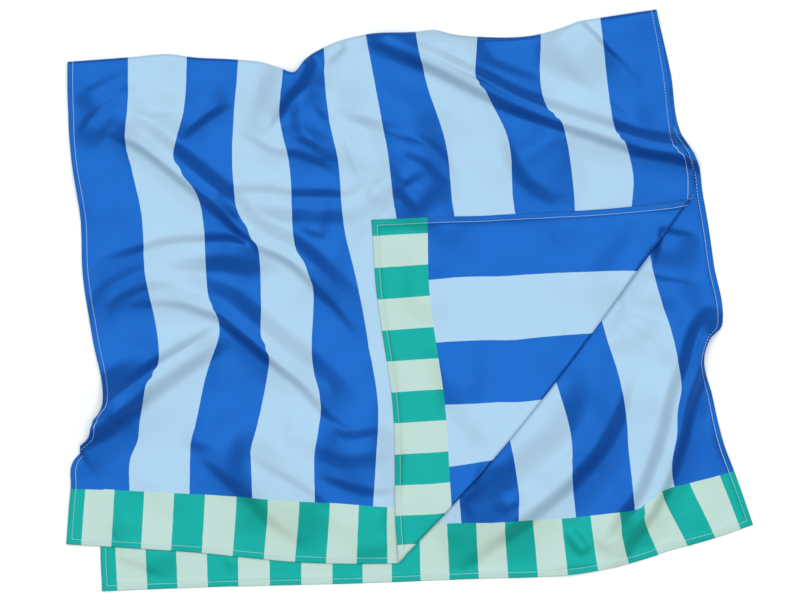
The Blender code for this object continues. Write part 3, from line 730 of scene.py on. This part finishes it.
class Graph:
    """A material and its nodes."""

    def __init__(self, name):
        self.material = bpy.data.materials.new(name)
        self.material.use_nodes = True
        self.tree = self.material.node_tree
        self.shader = self.tree.nodes["Principled BSDF"]

    def fill(self, socket, value):
        if isinstance(value, Signal):
            self.tree.links.new(value.socket, socket)
        else:
            socket.default_value = value

    def add(self, kind, settings, *values, output=None):
        """A node of that kind: its settings first, then the values or links of its sockets.

        What it gives is its first output, or the one of that name.
        """
        node = self.tree.nodes.new(kind)
        for name, setting in settings.items():
            setattr(node, name, setting)
        for socket, value in zip([s for s in node.inputs if s.enabled], values):
            self.fill(socket, value)
        outputs = [s for s in node.outputs if s.enabled and output in (None, s.name)]
        return Signal(self, outputs[0])

    def mix(self, share, first, second):
        return self.add("ShaderNodeMix", {"data_type": "RGBA"}, share, first, second)

    def scaled(self, colour, factor):
        return self.add("ShaderNodeVectorMath", {"operation": "SCALE"}, colour, factor)

    def uneven(self, place, pattern):
        """An uneven pattern, about as far below 0 as above it."""
        return self.add("ShaderNodeTexNoise", {}, place, *pattern) - 0.5

    def finish(self, **values):
        """The material, with its shader's sockets filled by their names."""
        sockets = {socket.name.lower().replace(" ", "_"): socket for socket in self.shader.inputs}
        for name, value in values.items():
            self.fill(sockets[name], value)
        return self.material


def cloth_material(cloth, colours):
    """The striped cloth: printed stripes and end borders, a fine weave, and a hem darkened for its doubled
    cloth and by painted shade.
    """
    graph = Graph("striped_cloth")
    flat = graph.add("ShaderNodeUVMap", {"uv_map": "cloth"})
    across, along = (graph.add("ShaderNodeSeparateXYZ", {}, flat, output=axis) for axis in "XY")
    stray = graph.uneven(flat, WANDER) * cloth.print_wander

    # The body's stripes are one STRIPE wide, and those of the borders half as wide.
    stripe = (across + stray) / (STRIPE * MM)
    soft = cloth.print_edge / (STRIPE * MM) * pi
    dark = (stripe * pi).sine().step(-soft, soft)
    green = ((stripe * 2 + 0.5) * pi).sine().step(-2 * soft, 2 * soft)
    from_ends = along.least(TOWEL_LENGTH * MM - along) + stray
    border = 1 - from_ends.step(cloth.border - cloth.print_edge, cloth.border + cloth.print_edge)
    body = graph.mix(dark, colours.light_blue, colours.dark_blue)
    ends = graph.mix(green, colours.mint, colours.green)
    colour = graph.mix(border, body, ends)
    deep = dark * (1 - border) + green * border * colours.border_satin
    satin = colours.pale_satin + deep * (colours.satin - colours.pale_satin)

    edge = from_ends.least(across.least(TOWEL_WIDTH * MM - across))
    hem = 1 - edge.step(cloth.hem - HEM_STEP * MM, cloth.hem)
    mottle = graph.uneven(flat, MOTTLE)
    grain = graph.uneven(flat, GRAIN)
    # The hem's darkening is partly painted shade of its rounded roll; the patches and the grain are the
    # cloth's own uneven tone.
    shade = 1 + mottle * MOTTLE_SHADE + grain * GRAIN_SHADE - hem * HEM_DARKENING_AND_PAINTED_SHADE
    turns = 2 * pi / cloth.weave_pitch
    weave = (across * turns).sine() * (along * turns).sine()
    creasing = graph.uneven(flat, CREASING)
    height = weave * cloth.weave_depth + grain * GRAIN_DEPTH + creasing * CREASING_DEPTH
    bump = graph.add("ShaderNodeBump", {}, 1.0, 1.0, BUMP_WIDTH, height)
    return graph.finish(base_color=graph.scaled(colour, shade),
                        roughness=colours.roughness + mottle * MOTTLE_ROUGHNESS,
                        metallic=satin, normal=bump, specular_ior_level=colours.gloss,
                        specular_tint=colours.gloss_tint)


def thread_material(colours):
    """Pale sewing thread, twisted, so that it is a little lighter and darker along its length."""
    graph = Graph("pale_thread")
    place = graph.add("ShaderNodeTexCoord", {}, output="Object")
    twist = graph.uneven(place, TWIST)
    return graph.finish(base_color=graph.scaled(colours.thread[:3], 1 + twist * TWIST_SHADE),
                        roughness=THREAD_ROUGHNESS + twist * TWIST_ROUGHNESS)


def floor_material(stage):
    """A plain pale floor."""
    graph = Graph("pale_floor")
    place = graph.add("ShaderNodeTexCoord", {}, output="Object")
    roughness = FLOOR_ROUGHNESS + graph.uneven(place, FLOOR_MOTTLE) * FLOOR_UNEVENNESS
    return graph.finish(base_color=(*stage.floor, 1.0), roughness=roughness)


# ---- the stage ----

def pale_floor(stage):
    """The floor, a little under the cloth."""
    plane = bmesh.new()
    bmesh.ops.create_grid(plane, x_segments=1, y_segments=1, size=FLOOR_REACH,
                          matrix=Matrix.Translation((0.0, 0.0, -FLOOR_GAP)))
    mesh = bpy.data.meshes.new("floor")
    plane.to_mesh(mesh)
    plane.free()
    return new_object("floor", mesh, floor_material(stage))


def even_sky(stage):
    """Light from all round."""
    world = bpy.data.worlds.new("sky")
    world.use_nodes = True
    background = world.node_tree.nodes["Background"]
    background.inputs["Color"].default_value = (*stage.sky_colour, 1.0)
    background.inputs["Strength"].default_value = stage.sky
    return world


def soft_key(stage):
    """The wide, soft key light overhead."""
    light = bpy.data.lights.new("key", "SUN")
    light.energy = stage.sun
    light.color = stage.sun_colour
    light.angle = stage.sun_size
    key = bpy.data.objects.new("key", light)
    key.rotation_euler = (-stage.sun_tilt, 0.0, 0.0)
    return key


def camera_above(stage):
    """The camera, which looks straight down at the middle of the towel."""
    lens = bpy.data.cameras.new("camera")
    lens.lens = stage.lens
    lens.clip_end = VIEW_REACH
    camera = bpy.data.objects.new("camera", lens)
    camera.location = (0.0, 0.0, stage.camera_height)
    return camera


# ---- settings, operators and panel ----

def length_of(name, description, default):
    return FloatProperty(name=name, description=description, default=default, unit="LENGTH",
                         precision=5, min=0.0)


def colour_of(name, description, default):
    return FloatVectorProperty(name=name, description=description, default=default, subtype="COLOR",
                               size=4, min=0.0, max=1.0)


class ClothSettings(bpy.types.PropertyGroup):
    """Sizes of the cloth, its print and its sewing."""

    thickness: length_of("Cloth", "Thickness of one layer of cloth", 0.9 * MM)
    hem: length_of("Hem", "Width of the hem, turned in twice", 9 * MM)
    hem_thickness: length_of("Hem thickness", "Thickness of the hem", 1.5 * MM)
    border: length_of("Border", "Length of the striped border at each end", 75 * MM)
    print_edge: length_of("Print edge", "Half the width over which a colour turns into the next", 0.3 * MM)
    print_wander: length_of("Print wander", "How far the edge of a stripe strays", 0.8 * MM)
    weave_pitch: length_of("Weave pitch", "Distance over which the weave repeats", 0.8 * MM)
    weave_depth: length_of("Weave depth", "Relief of the weave", 0.02 * MM)
    stitch_inset: length_of("Stitch inset", "Distance of the seam from the edge", 7.2 * MM)
    stitch_length: length_of("Stitch length", "Length of a stitch", 2.7 * MM)
    stitch_pitch: length_of("Stitch pitch", "Distance from a stitch to the next", 3.3 * MM)
    stitch_width: length_of("Stitch width", "Width of the thread", 0.8 * MM)


class ColourSettings(bpy.types.PropertyGroup):
    """Colours and finish of the cloth and the thread."""

    dark_blue: colour_of("Dark blue", "Dark stripes", (0.0088, 0.079, 0.362, 1.0))
    light_blue: colour_of("Light blue", "Light stripes", (0.408, 0.556, 0.69, 1.0))
    green: colour_of("Green", "Dark stripes of the borders", (0.0072, 0.302, 0.234, 1.0))
    mint: colour_of("Mint", "Light stripes of the borders", (0.495, 0.615, 0.515, 1.0))
    thread: colour_of("Thread", "Sewing thread", (0.75, 0.85, 0.92, 1.0))
    roughness: FloatProperty(name="Roughness", description="Roughness of the cloth", default=0.41,
                             subtype="FACTOR", min=0.0, max=1.0)
    satin: FloatProperty(name="Satin", description="Share of the dark stripes' light that shines back",
                         default=0.28, subtype="FACTOR", min=0.0, max=1.0)
    pale_satin: FloatProperty(name="Pale satin", description="The same for the pale stripes",
                              default=0.03, subtype="FACTOR", min=0.0, max=1.0)
    border_satin: FloatProperty(name="Border satin", description="How much of it the green stripes have",
                                default=0.5, subtype="FACTOR", min=0.0, max=1.0)
    gloss: FloatProperty(name="Gloss", description="Strength of the cloth's gloss", default=0.5,
                         subtype="FACTOR", min=0.0, max=1.0)
    gloss_tint: colour_of("Gloss colour", "Tint of the cloth's gloss", (0.05, 0.5, 1.0, 1.0))


class StageSettings(bpy.types.PropertyGroup):
    """Camera, light and floor."""

    camera_height: length_of("Camera height", "Height of the camera over the floor", 5.956)
    lens: FloatProperty(name="Lens", description="Focal length", default=200.0, unit="CAMERA")
    floor: FloatVectorProperty(name="Floor", description="Colour of the floor", subtype="COLOR",
                               default=(0.96, 0.96, 0.96))
    sky: FloatProperty(name="Sky", description="Strength of the light from all round", default=0.36)
    sky_colour: FloatVectorProperty(name="Sky colour", description="Colour of the light from all round",
                                    subtype="COLOR", default=(0.6, 0.86, 1.0))
    sun: FloatProperty(name="Key light", description="Strength of the soft key light", default=2.7)
    sun_colour: FloatVectorProperty(name="Key colour", description="Colour of the key light",
                                    subtype="COLOR", default=(1.0, 0.96, 0.92))
    sun_size: FloatProperty(name="Key size", description="Width of the key light, as an angle",
                            default=radians(55), unit="ROTATION")
    sun_tilt: FloatProperty(name="Key tilt", description="How far the key light leans to the top fold",
                            default=radians(8), unit="ROTATION")


class TOWEL_OT_sheet(bpy.types.Operator):
    """Lays the striped cloth in its folds"""

    bl_idname = "towel.sheet"
    bl_label = "Lay the Cloth"

    def execute(self, context):
        scene = context.scene
        sheet = sheet_object(scene.towel_cloth, cloth_material(scene.towel_cloth, scene.towel_colours))
        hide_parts("towel")
        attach(sheet, "root")
        return {"FINISHED"}


class TOWEL_OT_stitching(bpy.types.Operator):
    """Sews the hems"""

    bl_idname = "towel.stitching"
    bl_label = "Sew the Hems"

    def execute(self, context):
        scene = context.scene
        stitching = new_object("stitching", stitching_mesh(scene.towel_cloth),
                               thread_material(scene.towel_colours))
        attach(stitching, "root")
        return {"FINISHED"}


class TOWEL_OT_stage(bpy.types.Operator):
    """Sets up the floor, the light and the camera"""

    bl_idname = "towel.stage"
    bl_label = "Set the Stage"

    def execute(self, context):
        scene = context.scene
        stage = scene.towel_stage
        pale_floor(stage)
        scene.world = even_sky(stage)
        camera = camera_above(stage)
        for made in (soft_key(stage), camera):
            scene.collection.objects.link(made)
        scene.camera = camera
        scene.view_settings.view_transform = "Standard"
        return {"FINISHED"}


class TOWEL_PT_panel(bpy.types.Panel):
    """Buttons for each step"""

    bl_idname = "TOWEL_PT_panel"
    bl_label = "Beach Towel"
    bl_space_type = "VIEW_3D"
    bl_region_type = "UI"
    bl_category = "Towel"

    def draw(self, context):
        for group in (context.scene.towel_cloth, context.scene.towel_colours, context.scene.towel_stage):
            box = self.layout.box()
            for name in group.__annotations__:
                box.prop(group, name)
        for operator in OPERATORS:
            self.layout.operator(operator.bl_idname)


OPERATORS = (TOWEL_OT_sheet, TOWEL_OT_stitching, TOWEL_OT_stage)
CLASSES = (ClothSettings, ColourSettings, StageSettings, *OPERATORS, TOWEL_PT_panel)


def register():
    for part in CLASSES:
        bpy.utils.register_class(part)
    bpy.types.Scene.towel_cloth = PointerProperty(type=ClothSettings)
    bpy.types.Scene.towel_colours = PointerProperty(type=ColourSettings)
    bpy.types.Scene.towel_stage = PointerProperty(type=StageSettings)


def unregister():
    del bpy.types.Scene.towel_cloth, bpy.types.Scene.towel_colours, bpy.types.Scene.towel_stage
    for part in reversed(CLASSES):
        bpy.utils.unregister_class(part)


def main():
    register()
    bpy.ops.towel.sheet()
    bpy.ops.towel.stitching()
    bpy.ops.towel.stage()


if __name__ == "__main__":
    main()
